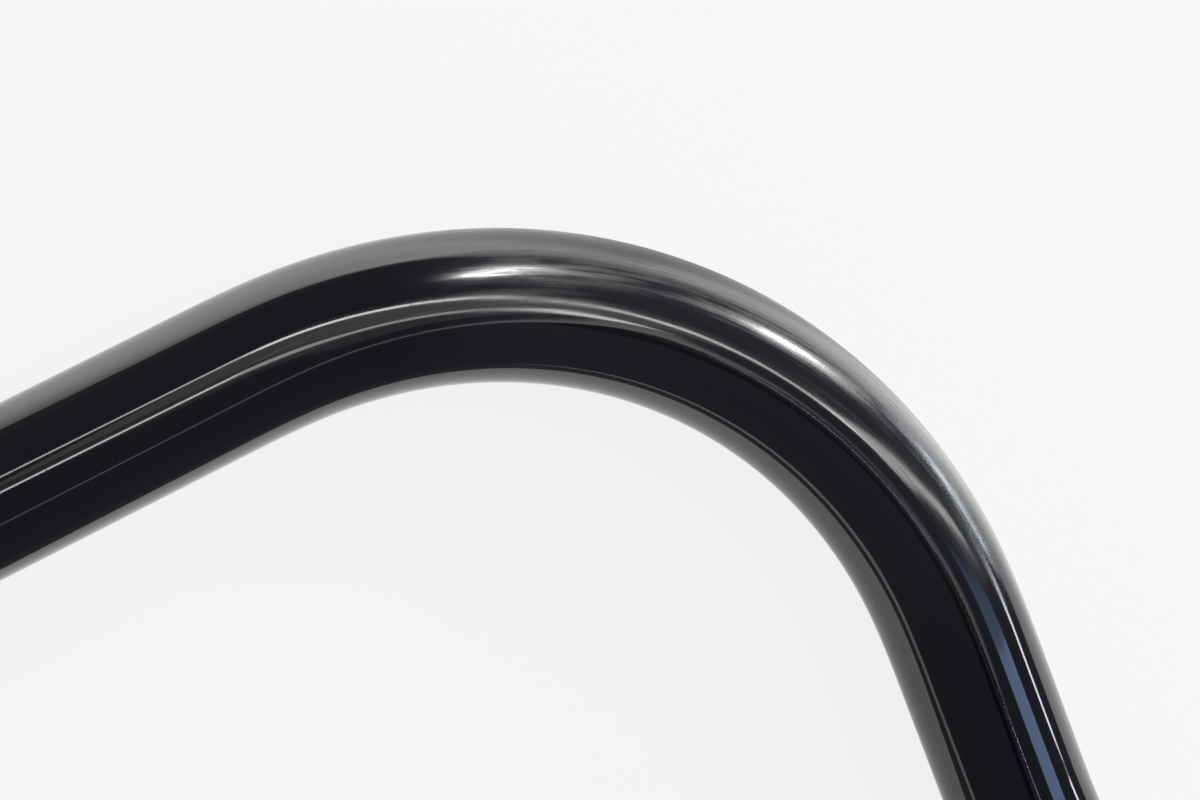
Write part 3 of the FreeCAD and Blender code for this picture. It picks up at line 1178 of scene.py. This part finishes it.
@dataclass
class Studio:
    """The pale floor, the room's light and the lamps."""

    target: tuple[float, float, float] = (0.15, -0.03, 0.0)
    floor_size: float = 12.0
    pale: tuple[float, float, float, float] = (0.955, 0.955, 0.945, 1.0)
    room: tuple[float, float, float, float] = (0.115, 0.122, 0.155, 1.0)
    lines: tuple[LampLine, ...] = (
        LampLine("upper", ((0.25, 0.90), (0.50, 0.79), (0.64, 0.57), (0.80, 0.20), (0.84, -0.43)),
                 (7.0, 12.0, 11.0, 9.0)),
        LampLine("upper_far", ((0.84, -0.43), (1.20, -0.43), (2.00, -0.66)), (6.0, 6.0), 0.10),
        LampLine("lower", ((0.28, 0.36), (0.42, 0.28), (0.50, 0.08), (0.64, -0.18)), (9.0, 4.0, 4.0), 0.04),
        LampLine("lower_far", ((0.64, -0.18), (0.62, -0.36), (0.50, -0.54), (0.32, -0.60)),
                 (9.0, 1.4, 1.0), 0.04),
        LampLine("ceiling", ((0.40, 0.72), (0.57, 0.48), (0.72, 0.06), (0.76, -0.33)),
                 (0.35, 0.4, 0.45), 0.26, 1.24),
        LampLine("ceiling_edge", ((0.40, 0.72), (0.57, 0.48), (0.72, 0.06), (0.76, -0.33)),
                 (0.16, 0.2, 0.22), 0.5, 1.28),
    )
    panels: tuple[Panel, ...] = (
        Panel("key_panel", ((1.25, 1.00, 0.99), (1.44, 1.04, 0.70)), 0.13, 60.0),
        Panel("side_panel", ((1.68, 0.21, 0.52), (1.66, 0.13, 0.60)), 0.09, 210.0),
        Panel("window", ((1.50, -0.17, 0.04), (1.50, -0.45, 0.16)), 0.10, 20.0, (0.84, 0.90, 1.0)),
        Panel("window_side", ((1.50, -0.46, 0.42), (1.50, -0.70, 0.46)), 0.08, 12.0, (0.88, 0.93, 1.0)),
        Panel("window_far", ((0.84, -0.71, 1.20), (1.52, -0.86, 1.20)), 0.14, 2.0, (0.40, 0.60, 1.0)),
        Panel("window_glow", ((0.84, -0.73, 1.24), (1.57, -0.89, 1.24)), 0.30, 1.1, (0.42, 0.60, 1.0)),
    )
    behind: Edge = Edge(0.64, -0.76, 0.012)
    before: Edge = Edge(0.56, 0.83, 0.038)
    drop_line: float = 0.2
    off_sheet: float = 0.1
    inner_shade_glow: float = 1.15
    floor_colour: tuple[float, float, float, float] = (0.12, 0.12, 0.118, 1.0)
    floor_tint: tuple[float, float, float, float] = (1.0, 1.0, 0.985, 1.0)
    floor_glow: float = 0.86

    def painted_mirror_light(self, x: Value, y: Value) -> Value:
        """How bright the sheet is in mirror images, by its place.

        It is painted brightest outside the bend, as a lamp-lit sheet, and painted dimmer beside the tube,
        inside the bend and along the ramps, as the bar's shade on the sheet; it ends behind the bar and in
        front of its middle.

        Args:
            x: the place's distance to the rider's right.
            y: its distance behind the top's centreline.

        Returns:
            The brightness.
        """
        behind = self.behind.inwards(x, y)
        before = self.before.inwards(x, y)
        beside = y.maths("MAXIMUM", x - self.drop_line)
        # Painted light: outside the bend the sheet glows brighter in mirror images, as if lamp-lit.
        outside = 1.0 + (1.1 + 0.9 * x.step(0.1, 0.3)) * beside.step(0.008, 0.035)
        # Painted shade: the sheet glows dimmer towards its back edge and along the ramps.
        dimmer_back = 0.5 + 0.5 * behind.step(0.0, 0.05)
        dimmer_ramps = 0.4 + 0.6 * y.step(-0.12, -0.055)
        outside = outside * dimmer_back * dimmer_ramps
        # Painted shade: inside the bend and beside the tube the sheet glows dimmer, standing in for the
        # bar's shade.
        inside = self.inner_shade_glow - 0.5 * x.step(0.12, 0.2)
        sheet = inside + (outside - inside) * beside.step(-0.012, 0.008)
        front = before.step(-0.002, 0.004).maths("MAXIMUM", x.step(0.03, 0.01))
        ends = behind.step(-0.001, 0.002) * front
        return self.off_sheet + (sheet - self.off_sheet) * ends

    def world(self) -> None:
        """A dim room for the light, a pale one for the eye."""
        world = bpy.data.worlds.new("room")
        world.use_nodes = True
        g = Graph(world.node_tree)
        g.tree.nodes.clear()
        seen = g.node("ShaderNodeLightPath").output("Is Camera Ray")
        colour = g.mixed(seen, self.room, self.pale)
        glow = g.node("ShaderNodeBackground", None, {"Color": colour, "Strength": 1.0})
        g.node("ShaderNodeOutputWorld", None, {"Surface": glow})
        bpy.context.scene.world = world

    def floor(self) -> None:
        """The sheet that the bar lies on: evenly pale to the eye, uneven in mirror images."""
        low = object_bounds()[0][2]
        half = self.floor_size / 2
        mesh = bpy.data.meshes.new("floor")
        corners = [(-half, -half, low), (half, -half, low), (half, half, low), (-half, half, low)]
        mesh.from_pydata(corners, [], [(0, 1, 2, 3)])
        s = Surface("floor_sheet")
        parts = s.node("ShaderNodeSeparateXYZ", None, {0: s.place()})
        x, y = parts.output("X"), parts.output("Y")
        mirrored = s.node("ShaderNodeLightPath").output("Is Glossy Ray")
        # Mirror images see the painted light and shade; the eye sees an evenly pale sheet.
        strength = mirrored * self.painted_mirror_light(x, y) + (1 - mirrored) * self.floor_glow
        s.feed(Base_Color=self.floor_colour, Roughness=0.9, Emission_Color=self.floor_tint)
        s.feed(Emission_Strength=strength, Specular_IOR_Level=0.0)
        mesh.materials.append(s.material)
        sheet_object = bpy.data.objects.new("floor", mesh)
        bpy.context.scene.collection.objects.link(sheet_object)
        sheet_object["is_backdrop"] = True

    def build(self) -> None:
        """Sets up everything that isn't the bar."""
        self.world()
        self.floor()
        for lamp in (*self.lines, *self.panels):
            lamp.build(Vector(self.target))
        bpy.context.scene.view_settings.view_transform = "Standard"


@dataclass(frozen=True)
class Viewpoint:
    """Where the camera stands and how it is turned."""

    target: tuple[float, float, float] = (0.1577, -0.0306, 0.0)
    distance: float = 0.8553
    azimuth: float = math.radians(135.39)
    elevation: float = math.radians(64.24)
    roll: float = math.radians(110.98)
    lens: float = 165.0
    sensor: float = 36.0

    def build(self) -> None:
        """Creates the camera and makes it the scene's own."""
        heading = Vector((math.sin(self.azimuth), math.cos(self.azimuth), 0.0))
        forward = heading * math.cos(self.elevation) - Vector((0, 0, math.sin(self.elevation)))
        level = Vector((heading.y, -heading.x, 0.0))
        upright = level.cross(forward)
        right = level * math.cos(self.roll) + upright * math.sin(self.roll)
        up = right.cross(forward)
        data = bpy.data.cameras.new("camera")
        data.lens = self.lens
        data.sensor_width = self.sensor
        data.dof.use_dof = False
        camera = bpy.data.objects.new("camera", data)
        axes = Matrix((right, up, -forward)).transposed().to_4x4()
        camera.matrix_world = Matrix.Translation(Vector(self.target) - forward * self.distance) @ axes
        bpy.context.scene.collection.objects.link(camera)
        bpy.context.scene.camera = camera


def main() -> None:
    """Builds the camera, the studio, the bar and its plugs."""
    logging.basicConfig(level=logging.INFO, format="%(name)s %(message)s")
    Viewpoint().build()
    Studio().build()
    bar = Bar()
    bar.build_tube(BendShaper())
    bar.build_sleeve()
    ridges = RidgeShaper()
    drop = bar.path.half()[-1][1]
    nylon, alloy = MouldedNylon().material(), MachinedAlloy(tuple(drop)).material()
    oxide = BlackOxide().material()
    for side in Side:
        EndPlug(side, bar.path).build(ridges, nylon, alloy, oxide)


if __name__ == "__main__":
    main()
